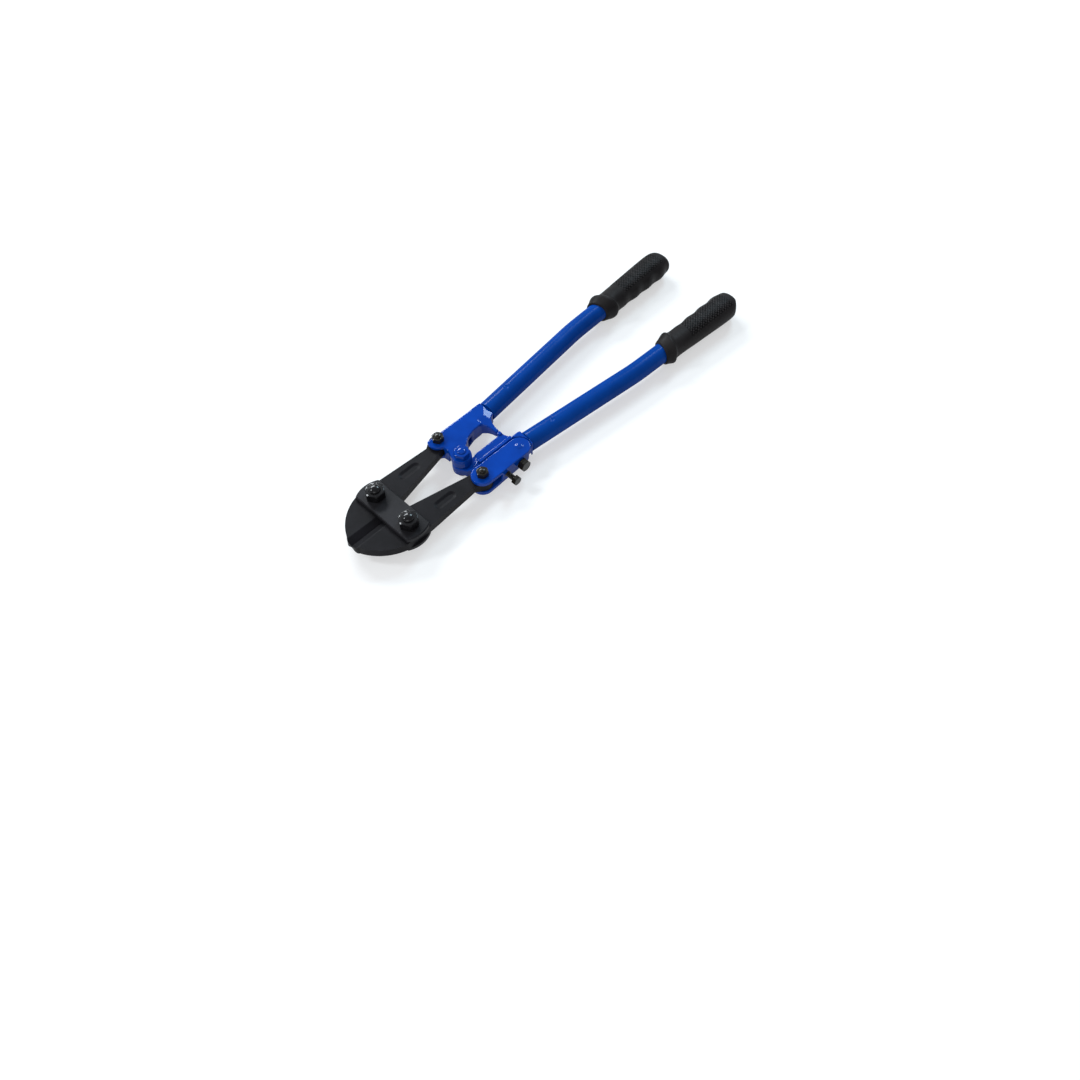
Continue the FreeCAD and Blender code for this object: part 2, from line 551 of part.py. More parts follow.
def build_plain_forging():
    side = RIGHT
    body = new_body("plain_forging")
    fork_reach = "sqrt(fork_radius ^ 2 - (forging_edge - tail_bolt_offset) ^ 2)"
    outline = [
        (f"tail_bolt_lead + {fork_reach}", "forging_edge"),
        ("tail_bolt_lead + 0.25 * fork_radius", "tail_bolt_offset - 0.968 * fork_radius"),
        ("lug_radius - 4.8", "12.5"),
        ("lug_radius - 2.8", "7.8"),
        ("lug_radius - 1", "4.2"),
        ("0", "0"),
        ("-lug_radius + 0.7", "3.6"),
        ("-lug_radius - 2.6", "6.5"),
        ("-19", "window_offset - 2.5"),
        ("-28", "window_offset"),
        ("4.4 - window_rear", "window_offset + 0.3"),
        ("1.2 - window_rear", "window_offset - 4.5"),
        ("0.2 - window_rear", "5"),
        ("-window_rear", "stop_gap"),
        ("-window_rear - stop_width", "stop_gap"),
        ("-window_rear - stop_width", "5"),
        ("-window_rear - stop_width - 1", "window_offset - 4"),
        ("-window_rear - stop_width - 4", "window_offset + 0.6"),
        tube_face("(tube_start_offset - tube_diameter / 2 + 0.8)"),
        tube_face("(tube_start_offset + tube_diameter / 2 - 1.8)"),
        ("-28", "forging_edge - 0.4"),
    ]
    arcs = mirrored_arcs({0: ("fork_radius", -1)}, side)
    sketch = draw_outline(new_sketch(body, "outline", "-" + HALF_FORGING), mirrored(outline, side), arcs)
    pad(sketch, "forging_depth")

    # the top and the underside slope down to the stop
    for name, level in (("slope_top", 1), ("slope_bottom", -1)):
        wedge = [
            ("window_offset + 6.5", HALF_FORGING),
            ("0", "stop_depth / 2"),
            ("0", "forging_depth"),
            ("window_offset + 6.5", "forging_depth"),
        ]
        points = [(f"{side} * ({y})", f"{level} * ({z})") for y, z in wedge]
        slope = new_sketch(body, name, "4.4 - window_rear", "YZ_Plane")
        cut(draw_outline(slope, points), HALF_THROUGH)

    # clear the other forging's lug, then add this one's, above the middle plane
    clearance = new_sketch(body, "lug_clearance", "side_gap / 2")
    cut(draw_circle(clearance, "0", "0", "lug_clearance_radius"), HALF_THROUGH)
    lug = new_sketch(body, "lug", "side_gap / 2")
    pad(draw_circle(lug, "0", "0", "lug_radius"), f"{HALF_FORGING} - side_gap / 2")

    # the slot for the jaw's tail, open to the front and to the outside
    slot = [
        ("tail_bolt_lead", f"tail_bolt_offset - tail_eye_radius - {EYE_ROOM}"),
        (f"tail_bolt_lead + {CLEAR_OF_PIECE}", f"tail_bolt_offset - tail_eye_radius - {EYE_ROOM} - 6.7"),
        (f"tail_bolt_lead + {CLEAR_OF_PIECE}", f"tail_bolt_offset + {CLEAR_OF_PIECE}"),
        ("tail_bolt_lead", f"tail_bolt_offset + {CLEAR_OF_PIECE}"),
    ]
    sketch = draw_outline(new_sketch(body, "slot", HALF_SLOT), mirrored(slot, side))
    cut(sketch, f"2 * {HALF_SLOT}")
    eye_room = new_sketch(body, "eye_room", HALF_SLOT)
    draw_circle(eye_room, "tail_bolt_lead", f"{side} * tail_bolt_offset", f"tail_eye_radius + {EYE_ROOM}")
    cut(eye_room, f"2 * {HALF_SLOT}")

    # a short blind pocket in the window's far wall
    pocket = new_sketch(body, "wall_pocket", "pocket_top")
    front, rear = "-pocket_place", "-pocket_place - pocket_length"
    corners = [(front, "pocket_mouth"), (front, "pocket_end"), (rear, "pocket_end"), (rear, "pocket_mouth")]
    cut(draw_outline(pocket, mirrored(corners, side)), "pocket_height")

    bolt_holes = new_sketch(body, "holes", ABOVE_ALL)
    draw_circle(bolt_holes, "tail_bolt_lead", f"{side} * tail_bolt_offset", "tail_bolt_diameter / 2 + fit")
    draw_circle(bolt_holes, "0", "0", "pivot_bolt_diameter / 2 + pivot_play")
    cut(bolt_holes, THROUGH_ALL)
    whole = fused("plain_forging_whole", [body, build_spigot("plain_spigot", side)])

    # a slanting facet on top, at the corner ahead of the tube
    block = doc.addObject("Part::Box", "facet_block")
    block.setExpression("Length", bound("facet_length"))
    block.setExpression("Width", bound("tube_diameter"))
    block.setExpression("Height", bound("tube_diameter"))
    turned = FreeCAD.Rotation(FreeCAD.Vector(0, 0, 1), value("facet_turn"))
    tilted = FreeCAD.Rotation(FreeCAD.Vector(1, 0, 0), -value("facet_tilt"))
    block.Placement = FreeCAD.Placement(FreeCAD.Vector(), turned * tilted)
    place(block, "facet_lead - tube_start", f"{side} * (tube_start_offset + facet_offset)",
          on_middle_plane(HALF_FORGING))
    faceted = doc.addObject("Part::Cut", "plain_forging_faceted")
    faceted.Base = whole
    faceted.Tool = block
    return finish(faceted, "plain_handle_forging")


def build_adjuster_forging():
    side = LEFT
    body = new_body("adjuster_forging")
    bar = [
        ("lug_radius - 1", "4.6"),
        ("lug_radius - 4.6", "12"),
        ("lug_radius - 7", "bar_outer"),
        ("1.5 - tube_start", "bar_outer"),
        ("-window_rear - stop_width - 4.4", "window_offset - 0.6"),
        ("-window_rear - stop_width - 2.2", "window_offset - 3.4"),
        ("-window_rear - stop_width - 0.6", "bar_offset + 3"),
        ("-window_rear - stop_width", "bar_offset"),
        ("-lug_radius + 0.5", "bar_offset"),
        ("0", "0"),
    ]
    pad(draw_outline(new_sketch(body, "bar", "-" + HALF_FORGING), bar), f"{HALF_FORGING} + bar_top")
    rib = [
        ("-7.5", "bar_outer - 4"),
        ("-7.5", "bar_outer - 0.4"),
        ("-window_rear - 5", "bar_outer - 0.4"),
        ("-window_rear - 5", "bar_outer - 4"),
    ]
    pad(draw_outline(new_sketch(body, "rib", "0"), rib), "rib_top")
    shoulder = [
        ("-window_rear - 3", "bar_outer + 1"),
        ("-window_rear - 4", "bar_outer - 0.2"),
        ("2 - tube_start", "bar_outer - 0.2"),
        tube_face("(tube_start_offset - tube_diameter / 2 + 0.5)"),
        tube_face("(tube_start_offset + tube_diameter / 2 - 0.3)"),
        ("8 - tube_start", "tube_start_offset + tube_diameter / 2 - 0.3"),
        ("8 - tube_start", "bar_outer + 1"),
    ]
    sketch = draw_outline(new_sketch(body, "shoulder", "-" + HALF_FORGING), shoulder)
    pad(sketch, "forging_depth")
    lever_room = new_sketch(body, "lever_room", ABOVE_ALL)
    draw_circle(lever_room, "-lever_pin_place", "lever_pin_offset", "lever_rear_radius + lever_gap")
    cut(lever_room, THROUGH_ALL)

    # clear the other forging's lug, then add this one's, below the middle plane
    clearance = new_sketch(body, "lug_clearance", "-side_gap / 2")
    cut(draw_circle(clearance, "0", "0", "lug_clearance_radius"), HALF_THROUGH, upwards=True)
    lug = new_sketch(body, "lug", "-" + HALF_FORGING)
    pad(draw_circle(lug, "0", "0", "lug_radius"), f"{HALF_FORGING} - side_gap / 2")

    stop = [
        ("-window_rear", "stop_gap"),
        ("-window_rear", "bar_offset + 1"),
        ("-window_rear - stop_width", "bar_offset + 1"),
        ("-window_rear - stop_width", "stop_gap"),
    ]
    sketch = draw_outline(new_sketch(body, "stop", "-stop_depth / 2"), stop)
    pad(sketch, "stop_depth")

    # the tongue that lies between the lever's cheeks, with the eye for the lever's pin
    tongue = [
        ("-9.5", "bar_outer - 1"),
        ("-9.5", "bar_outer + 7"),
        ("-13", "tongue_outer"),
        ("3 - lever_pin_place", "tongue_outer"),
        ("-lever_pin_place", "lever_pin_offset + pin_eye_radius"),
        ("2 - tube_start", "lever_pin_offset + pin_eye_radius - 0.6"),
        ("2 - tube_start", "bar_outer - 1"),
    ]
    sketch = draw_outline(new_sketch(body, "tongue", f"-{HALF_JAW}"), tongue)
    pad(sketch, "jaw_depth")

    bolt_holes = new_sketch(body, "holes", ABOVE_ALL)
    draw_circle(bolt_holes, "-lever_pin_place", "lever_pin_offset", "lever_pin_diameter / 2 + fit")
    draw_circle(bolt_holes, "0", "0", "pivot_bolt_diameter / 2 + pivot_play")
    cut(bolt_holes, THROUGH_ALL)
    thread = new_sketch(body, "locking_thread", f"-({LEVER_OUTER})", "XZ_Plane")
    draw_circle(thread, "-locking_screw_place", "0", "locking_screw_diameter / 2 + fit")
    cut(thread, f"{LEVER_OUTER} - tongue_outer + locking_screw_grip + 1", upwards=True)
    whole = fused("adjuster_forging_whole", [body, build_spigot("adjuster_spigot", side)])
    return finish(whole, "adjuster_handle_forging")


def build_tube(label, side):
    body = new_body(label, side, "-tube_start", f"{side} * tube_start_offset", "handle_angle")
    turn = f"({FRONT_ANGLE} - {REAR_ANGLE})"
    bend_end_x = f"(-tube_straight - bend_radius * sin({turn}))"
    bend_end_y = f"(bend_radius * (1 - cos({turn})))"
    path = [
        ("0", "0"),
        ("-tube_straight", "0"),
        (bend_end_x, f"{-side} * {bend_end_y}"),
        (f"{bend_end_x} - tube_rear_length * cos({turn})",
         f"{-side} * ({bend_end_y} + tube_rear_length * sin({turn}))"),
    ]
    spine = draw_outline(new_sketch(body, "path"), path, {1: ("bend_radius", side)}, closed=False)
    section = new_sketch(body, "section", plane="YZ_Plane")
    draw_circle(section, "0", "0", "tube_diameter / 2")
    draw_circle(section, "0", "0", "tube_diameter / 2 - tube_wall")
    pipe = body.newObject("PartDesign::AdditivePipe", label + "_pipe")
    pipe.Profile = section
    pipe.Spine = spine
    ball = body.newObject("PartDesign::SubtractiveSphere", label + "_dimple")
    place_dimple(ball, "tube_diameter / 2 - dimple_depth")
    return finish(body, label)


def build_grip(label, side):
    """A rubber sleeve with a flared front collar and a closed, rounded end."""
    rim_place = "(tube_rear_length - grip_length + grip_end_wall)"
    along = (f"tube_start + tube_straight * cos({FRONT_ANGLE})"
             f" + bend_radius * (sin({FRONT_ANGLE}) - sin({REAR_ANGLE})) + {rim_place} * cos({REAR_ANGLE})")
    across = (f"tube_start_offset + tube_straight * sin({FRONT_ANGLE})"
              f" + bend_radius * (cos({REAR_ANGLE}) - cos({FRONT_ANGLE})) + {rim_place} * sin({REAR_ANGLE})")
    body = new_body(label, side, f"-({along})", f"{side} * ({across})", "rear_angle")
    bore = "tube_diameter / 2 + fit"
    profile = [
        ("0", bore),
        ("0", "grip_rim_radius"),
        ("-7", "grip_collar_radius - 1"),
        ("-12", "grip_collar_radius"),
        ("-17", "grip_collar_radius - 0.4"),
        ("-24", "grip_neck_radius"),
        ("-45", "grip_neck_radius + 0.3"),
        ("14 - grip_length", "grip_body_radius"),
        ("6 - grip_length", "grip_body_radius - 0.9"),
        ("2 - grip_length", "grip_body_radius - 3.6"),
        ("-grip_length", "grip_body_radius - 7"),
        ("-grip_length", "0"),
        ("grip_end_wall - grip_length - fit", "0"),
        ("grip_end_wall - grip_length - fit", bore),
    ]
    sketch = draw_outline(new_sketch(body, "profile"), profile)
    turned = body.newObject("PartDesign::Revolution", label + "_turned")
    turned.Profile = sketch
    turned.ReferenceAxis = (sketch, ["H_Axis"])
    turned.Angle = 360

    # the front rim slants back towards the other handle, and the outer corner of the end is cut off
    beyond = "grip_length"
    rim_cut = [
        ("0", f"{side} * {beyond}"),
        ("0", f"{side} * grip_collar_radius"),
        ("-rim_slant", f"-{side} * grip_collar_radius"),
        ("-rim_slant", f"-{side} * {beyond}"),
        ("10", f"-{side} * {beyond}"),
        ("10", f"{side} * {beyond}"),
    ]
    end_cut = [
        ("end_cut - grip_length", f"{side} * (grip_body_radius + 1)"),
        ("-grip_length - 1", f"{side} * (grip_body_radius - end_cut)"),
        ("-grip_length - 1", f"{side} * (grip_body_radius + 1)"),
    ]
    for name, corners in (("rim_cut", rim_cut), ("end_cut", end_cut)):
        cut(draw_outline(new_sketch(body, name, ABOVE_ALL), corners), THROUGH_ALL)
    return finish(body, label)


# ---- the adjuster ----

def build_adjusting_lever():
    body = new_body("adjusting_lever")
    halves = (("upper", "0", "lever_rear_radius"), ("lower", "-" + HALF_FORGING, "lever_low_radius"))
    for name, height, rear_radius in halves:
        outline = [
            ("tail_bolt_lead", "tail_bolt_offset + lever_radius"),
            ("-lever_pin_place", f"lever_pin_offset + {rear_radius}"),
            ("-lever_pin_place", f"lever_pin_offset - {rear_radius}"),
            ("tail_bolt_lead", "tail_bolt_offset - lever_radius"),
        ]
        pad(draw_outline(new_sketch(body, name + "_sides", height), outline), HALF_FORGING)
        front = new_sketch(body, name + "_front", height)
        pad(draw_circle(front, "tail_bolt_lead", "tail_bolt_offset", "lever_radius"), HALF_FORGING)
        rear = new_sketch(body, name + "_rear", height)
        pad(draw_circle(rear, "-lever_pin_place", "lever_pin_offset", rear_radius), HALF_FORGING)

    # the slot between the cheeks leaves only the outer wall that the screws go through
    slot = [
        (f"tail_bolt_lead + {CLEAR_OF_PIECE}", f"tail_bolt_offset - {CLEAR_OF_PIECE}"),
        (f"tail_bolt_lead + {CLEAR_OF_PIECE}", f"tail_bolt_offset + {CLEAR_OF_PIECE}"),
        ("-lever_wall_front", f"tail_bolt_offset + {CLEAR_OF_PIECE}"),
        ("-lever_wall_front", f"{LEVER_OUTER} - lever_wall"),
        ("-lever_pin_place - 2", f"{LEVER_OUTER} - lever_wall"),
        ("-lever_pin_place - 2", f"tail_bolt_offset + {CLEAR_OF_PIECE}"),
        (f"-lever_pin_place - {CLEAR_OF_PIECE}", f"tail_bolt_offset + {CLEAR_OF_PIECE}"),
        (f"-lever_pin_place - {CLEAR_OF_PIECE}", f"tail_bolt_offset - {CLEAR_OF_PIECE}"),
    ]
    cut(draw_outline(new_sketch(body, "slot", HALF_SLOT), slot), f"2 * {HALF_SLOT}")
    holes = new_sketch(body, "holes", ABOVE_ALL)
    draw_circle(holes, "tail_bolt_lead", "tail_bolt_offset", "tail_bolt_diameter / 2 + fit")
    draw_circle(holes, "-lever_pin_place", "lever_pin_offset", "lever_pin_diameter / 2 + fit")
    cut(holes, THROUGH_ALL)
    screw_holes = (
        ("adjusting_thread", "-adjusting_screw_place", "adjusting_screw_diameter / 2 + fit"),
        ("locking_hole", "-locking_screw_place", f"locking_screw_diameter / 2 + {LOCKING_ROOM}"),
    )
    for name, x, radius in screw_holes:
        sketch = new_sketch(body, name, f"-({LEVER_OUTER} + 1)", "XZ_Plane")
        cut(draw_circle(sketch, x, "0", radius), "lever_wall + 3", upwards=True)
    finish(body, "adjusting_lever")
    at_pin = ("-lever_pin_place", "lever_pin_offset")
    solids = [
        cylinder("lever_pin", "lever_pin_diameter / 2", "forging_depth", *at_pin,
                 on_middle_plane("-" + HALF_FORGING)),
        dome("lever_pin_dome", "lever_pin_diameter / 2", PIN_DOME_DEPTH, *at_pin,
             on_middle_plane(HALF_FORGING)),
    ]
    finish(fused("lever_pin_whole", solids), "adjusting_lever_pin")


def stand_sideways(thing, x, y):
    """Lay a screw that was built along Z on the middle plane, with its head outwards."""
    thing.Placement = FreeCAD.Placement(
        FreeCAD.Vector(), FreeCAD.Rotation(FreeCAD.Vector(1, 0, 0), -90))
    return place(thing, x, y, MIDDLE_HEIGHT)


def build_screw(label, diameter, across, head_depth, shank, x, y):
    """A hex screw whose tip is at a place; it is built tip down."""
    solids = [
        cylinder(label + "_shank", diameter + " / 2", shank),
        hexagon(label + "_head", across, head_depth, z=shank, chamfers="top"),
    ]
    return finish(stand_sideways(fused(label + "_screw", solids), x, y), label)


def build_screws():
    build_screw("adjusting_screw", "adjusting_screw_diameter", "adjusting_screw_hex", "adjusting_head_depth",
                "adjusting_screw_shank", "-adjusting_screw_place", "tongue_outer + adjusting_screw_gap")
    locking_tip = "tongue_outer - locking_screw_grip"
    nut_bottom = f"{LEVER_REAR_OUTER} + locking_nut_gap"
    build_screw("locking_screw", "locking_screw_diameter", "locking_screw_hex", "locking_head_depth",
                f"{nut_bottom} + locking_nut_depth - ({locking_tip})", "-locking_screw_place", locking_tip)
    nut = hexagon("locking_nut_body", "locking_screw_hex", "locking_nut_depth")
    nut = bored("locking_nut_bored", nut, "locking_screw_diameter / 2 + fit")
    finish(stand_sideways(nut, "-locking_screw_place", nut_bottom), "locking_nut")


def build_all():
    build_side_plate("side_plate_top", 1)
    build_side_plate("side_plate_bottom", -1)
    for name, side in (("left", LEFT), ("right", RIGHT)):
        build_jaw("jaw_" + name, side)
        build_jaw_bolt("jaw_bolt_" + name, side)
        build_nut("jaw_nut_" + name, "jaw_bolt_hex", "jaw_nut_depth", "jaw_bolt_diameter / 2 + fit",
                  "jaw_reach", f"{side} * jaw_bolt_offset", PLATE_TOP)
        build_tail_bolt("tail_bolt_" + name, side)
        build_nut("tail_nut_" + name, "tail_bolt_hex", "tail_nut_depth", "tail_bolt_diameter / 2 + fit",
                  "tail_bolt_lead", f"{side} * tail_bolt_offset", HALF_FORGING)
        build_tube("handle_tube_" + name, side)
        build_grip("grip_" + name, side)
    build_centre_pivot()
    build_plain_forging()
    build_adjuster_forging()
    build_adjusting_lever()
    build_screws()


def check_and_write():
    doc.recompute()
    for thing in doc.Objects:
        if "Invalid" in thing.State or "Error" in thing.State:
            raise RuntimeError(f"{thing.Name} failed: {thing.State}")
    for thing in finished:
        if thing.Shape.isNull() or not thing.Shape.isValid() or not thing.Shape.Solids:
            raise RuntimeError(f"{thing.Label} has no valid solid")
    os.makedirs("parts", exist_ok=True)
    for thing in finished:
        thing.Shape.exportStep(os.path.join("parts", thing.Label + ".step"))
        print(thing.Label, len(thing.Shape.Solids), round(thing.Shape.Volume, 1))


build_all()
check_and_write()
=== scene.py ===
import json
import math

import bpy
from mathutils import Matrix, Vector

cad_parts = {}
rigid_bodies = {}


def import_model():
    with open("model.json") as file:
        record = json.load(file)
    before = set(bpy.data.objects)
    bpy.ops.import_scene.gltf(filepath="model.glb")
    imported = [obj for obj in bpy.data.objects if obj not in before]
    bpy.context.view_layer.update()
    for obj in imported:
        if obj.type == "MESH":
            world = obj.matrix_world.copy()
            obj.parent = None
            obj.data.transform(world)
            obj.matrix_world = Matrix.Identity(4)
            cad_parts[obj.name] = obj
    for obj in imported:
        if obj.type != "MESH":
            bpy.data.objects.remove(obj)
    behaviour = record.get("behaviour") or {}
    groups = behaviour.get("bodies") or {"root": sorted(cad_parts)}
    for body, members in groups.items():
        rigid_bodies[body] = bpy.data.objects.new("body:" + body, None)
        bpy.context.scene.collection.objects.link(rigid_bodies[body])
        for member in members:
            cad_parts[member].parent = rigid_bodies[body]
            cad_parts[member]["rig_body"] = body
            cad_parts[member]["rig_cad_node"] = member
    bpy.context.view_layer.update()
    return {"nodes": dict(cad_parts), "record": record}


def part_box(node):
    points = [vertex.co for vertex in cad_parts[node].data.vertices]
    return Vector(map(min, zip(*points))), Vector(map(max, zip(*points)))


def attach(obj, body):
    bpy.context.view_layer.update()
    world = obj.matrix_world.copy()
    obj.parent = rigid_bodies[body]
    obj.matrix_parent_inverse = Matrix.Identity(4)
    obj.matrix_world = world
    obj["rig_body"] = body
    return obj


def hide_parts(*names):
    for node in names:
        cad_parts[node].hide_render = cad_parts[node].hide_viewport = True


# Bolt cutters lying closed: X runs from the grips to the jaws, Y to the adjuster's side, Z up, metres.
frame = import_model()
record = frame["record"]
slotOf = {row["node"]: row["material_slot"] for row in record["subparts"]}
bodyOf = {node: body for body, members in record["behaviour"]["bodies"].items() for node in members}
middle = (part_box("side_plate_top")[0].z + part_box("side_plate_bottom")[1].z) / 2  # the tool's middle plane
mm = 0.001
print("frame loaded, middle plane at", round(middle, 4))


# selecting and starting pieces

def deselectAll():
    if bpy.context.object and bpy.context.object.mode != "OBJECT":
        bpy.ops.object.mode_set(mode="OBJECT")
    bpy.ops.object.select_all(action="DESELECT")


def activate(piece):
    deselectAll()
    piece.select_set(True)
    bpy.context.view_layer.objects.active = piece


def selectWhere(piece, kind, test):
    # leaves edit mode open with only the wanted vertices, edges or faces selected
    activate(piece)
    bpy.ops.object.mode_set(mode="EDIT")
    bpy.ops.mesh.select_mode(type={"vertices": "VERT", "edges": "EDGE", "polygons": "FACE"}[kind])
    bpy.ops.mesh.select_all(action="DESELECT")
    bpy.ops.object.mode_set(mode="OBJECT")
    found = 0
    for item in getattr(piece.data, kind):
        item.select = bool(test(item))
        found += item.select
    bpy.ops.object.mode_set(mode="EDIT")
    return found


def applyModifier(piece, name, kind, **values):
    activate(piece)
    modifier = piece.modifiers.new(name, kind)
    for key, value in values.items():
        setattr(modifier, key, value)
    bpy.ops.object.modifier_apply(modifier=modifier.name)


def copyNode(node, name):
    # a merged copy of a frame node's mesh, with its flat faces cleaned up
    activate(frame["nodes"][node])
    bpy.ops.object.duplicate()
    piece = bpy.context.object
    piece.name = piece.data.name = name
    piece.parent = None
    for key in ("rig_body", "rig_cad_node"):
        if key in piece:
            del piece[key]
    activate(piece)
    bpy.ops.object.mode_set(mode="EDIT")
    bpy.ops.mesh.select_all(action="SELECT")
    bpy.ops.mesh.customdata_custom_splitnormals_clear()
    bpy.ops.mesh.remove_doubles(threshold=2e-6)
    bpy.ops.mesh.dissolve_limited(angle_limit=math.radians(0.6))
    bpy.ops.object.mode_set(mode="OBJECT")
    return piece


def settle(piece, nodes, material):
    # the piece rides on its nodes' body, stands for them and takes their slot
    piece.data.materials.clear()
    piece.data.materials.append(material)
    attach(piece, bodyOf[nodes[0]])
    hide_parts(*nodes)
    return piece


def smoothByAngle(piece, degrees):
    activate(piece)
    bpy.ops.object.shade_smooth_by_angle(angle=math.radians(degrees))


flats = {"corners": 24, "alignment": 0.9999, "sameDepth": 0.02 * mm}


def refillFlats(piece):
    # each large flat is filled anew inside its eased edges, holes and all, so that no triangle lies turned over
    def isLarge(face):
        return len(face.vertices) > flats["corners"]

    while True:
        large = [face for face in piece.data.polygons if isLarge(face)]
        if not large:
            break
        upright, depth = large[0].normal.copy(), large[0].normal.dot(large[0].center)
        selectWhere(piece, "polygons", lambda face: isLarge(face)
                    and face.normal.dot(upright) > flats["alignment"]
                    and abs(face.center.dot(upright) - depth) < flats["sameDepth"])
        bpy.ops.mesh.delete(type="FACE")
        bpy.ops.mesh.select_mode(type="EDGE")
        bpy.ops.mesh.select_non_manifold(
            extend=False, use_wire=False, use_boundary=True, use_multi_face=False,
            use_non_contiguous=False, use_verts=False)
        bpy.ops.mesh.fill(use_beauty=True)
        bpy.ops.mesh.select_all(action="SELECT")
        bpy.ops.mesh.normals_make_consistent(inside=False)
        bpy.ops.object.mode_set(mode="OBJECT")


softEdge = {"plate": 0.25 * mm, "jaw": 0.3 * mm, "fastener": 0.2 * mm, "angle": 30, "jawAngle": 12}


def softenEdges(piece, width, degrees=softEdge["angle"], refill=True):
    # edges sharper than the angle are rounded, and the flats beside them stay flat in their shading
    applyModifier(piece, "edges", "BEVEL", width=width, segments=2, limit_method="ANGLE",
                  angle_limit=math.radians(degrees), miter_outer="MITER_ARC", use_clamp_overlap=True)
    if refill:
        refillFlats(piece)
    smoothByAngle(piece, 50)
    applyModifier(piece, "normals", "WEIGHTED_NORMAL", weight=60, keep_sharp=True)


def makeSleeve(name, ringCount, rowCount):
    # an open upright sleeve of rings, one high: a vertex's height tells its row and its bearing its angle
    deselectAll()
    bpy.ops.mesh.primitive_cylinder_add(vertices=ringCount, radius=1, depth=1, end_fill_type="NOTHING")
    sleeve = bpy.context.object
    sleeve.name = sleeve.data.name = name
    points = sleeve.data.vertices

    def isUpright(edge):
        low, high = (points[index].co.z for index in edge.vertices)
        return abs(low - high) > 0.5

    selectWhere(sleeve, "edges", isUpright)
    bpy.ops.mesh.subdivide(number_cuts=rowCount - 2)
    bpy.ops.object.mode_set(mode="OBJECT")
    return sleeve


def shapeSleeve(sleeve, rowCount, place):
    # every vertex goes where its row and its angle place it
    for vertex in sleeve.data.vertices:
        row = (0.5 - vertex.co.z) * (rowCount - 1)
        vertex.co = place(row, math.atan2(vertex.co.y, vertex.co.x))


def extrudeRing(push, scale):
    # the selected open ring grows one more row, moved and scaled about its new middle
    bpy.ops.mesh.extrude_region_move(TRANSFORM_OT_translate={"value": push})
    piece = bpy.context.edit_object
    piece.update_from_editmode()
    chosen = [vertex.co for vertex in piece.data.vertices if vertex.select]
    centre = sum(chosen, Vector()) / len(chosen)
    bpy.ops.transform.resize(value=(scale, scale, scale), center_override=centre)


def smoothStep(low, high, value):
    # rises softly from 0 at low to 1 at high, or falls where low is the larger
    share = min(1, max(0, (value - low) / (high - low)))
    return share * share * (3 - 2 * share)


# materials

def addNode(tree, kind, **inputs):
    node = tree.nodes.new(kind)
    for key, value in inputs.items():
        node.inputs[key.replace("_", " ")].default_value = value
    return node


def noiseOf(tree, coordinates, scale, detail=3.0, roughness=0.55):
    noise = addNode(tree, "ShaderNodeTexNoise", Scale=scale, Detail=detail, Roughness=roughness)
    tree.links.new(coordinates.outputs["Object"], noise.inputs["Vector"])
    return noise


def rangeOf(tree, source, low, high, fromLow=0.3, fromHigh=0.7):
    mapped = tree.nodes.new("ShaderNodeMapRange")
    mapped.inputs["From Min"].default_value = fromLow
    mapped.inputs["From Max"].default_value = fromHigh
    mapped.inputs["To Min"].default_value = low
    mapped.inputs["To Max"].default_value = high
    tree.links.new(source, mapped.inputs["Value"])
    return mapped.outputs["Result"]


def finishMaterial(name, settings):
    # colour that drifts between two tones, painted shade and light from a relief height where one is given, uneven
    # gloss, and two grains of relief
    material = bpy.data.materials.new(name)
    material.use_nodes = True
    tree = material.node_tree
    shader = tree.nodes["Principled BSDF"]
    for socket, value in settings["shader"].items():
        shader.inputs[socket].default_value = value
    coordinates = tree.nodes.new("ShaderNodeTexCoord")

    drift = noiseOf(tree, coordinates, settings["driftScale"], 4.0)
    tones = tree.nodes.new("ShaderNodeMix")
    tones.data_type = "RGBA"
    tones.inputs["A"].default_value = (*settings["tones"][0], 1)
    tones.inputs["B"].default_value = (*settings["tones"][1], 1)
    tree.links.new(rangeOf(tree, drift.outputs["Fac"], 0, 1), tones.inputs["Factor"])
    colour = tones.outputs["Result"]
    if "relief" in settings:
        # painted shade: grooves between raised points are darker, and painted light makes the points' tops lighter
        relief = tree.nodes.new("ShaderNodeAttribute")
        relief.attribute_name = "relief"
        paintedGrooveShade = tree.nodes.new("ShaderNodeVectorMath")
        paintedGrooveShade.operation = "SCALE"
        tree.links.new(colour, paintedGrooveShade.inputs["Vector"])
        shade = rangeOf(tree, relief.outputs["Fac"], *settings["relief"], 0.2, 0.8)
        tree.links.new(shade, paintedGrooveShade.inputs["Scale"])
        colour = paintedGrooveShade.outputs["Vector"]
    tree.links.new(colour, shader.inputs["Base Color"])

    gloss = noiseOf(tree, coordinates, settings["glossScale"], 5.0)
    tree.links.new(rangeOf(tree, gloss.outputs["Fac"], *settings["roughness"]), shader.inputs["Roughness"])

    previous = None
    for scale, depth, strength in settings["grains"]:
        grain = noiseOf(tree, coordinates, scale, 3.0)
        bump = addNode(tree, "ShaderNodeBump", Strength=strength, Distance=depth)
        tree.links.new(grain.outputs["Fac"], bump.inputs["Height"])
        if previous:
            tree.links.new(previous.outputs["Normal"], bump.inputs["Normal"])
        previous = bump
    tree.links.new(previous.outputs["Normal"], shader.inputs["Normal"])
    return material


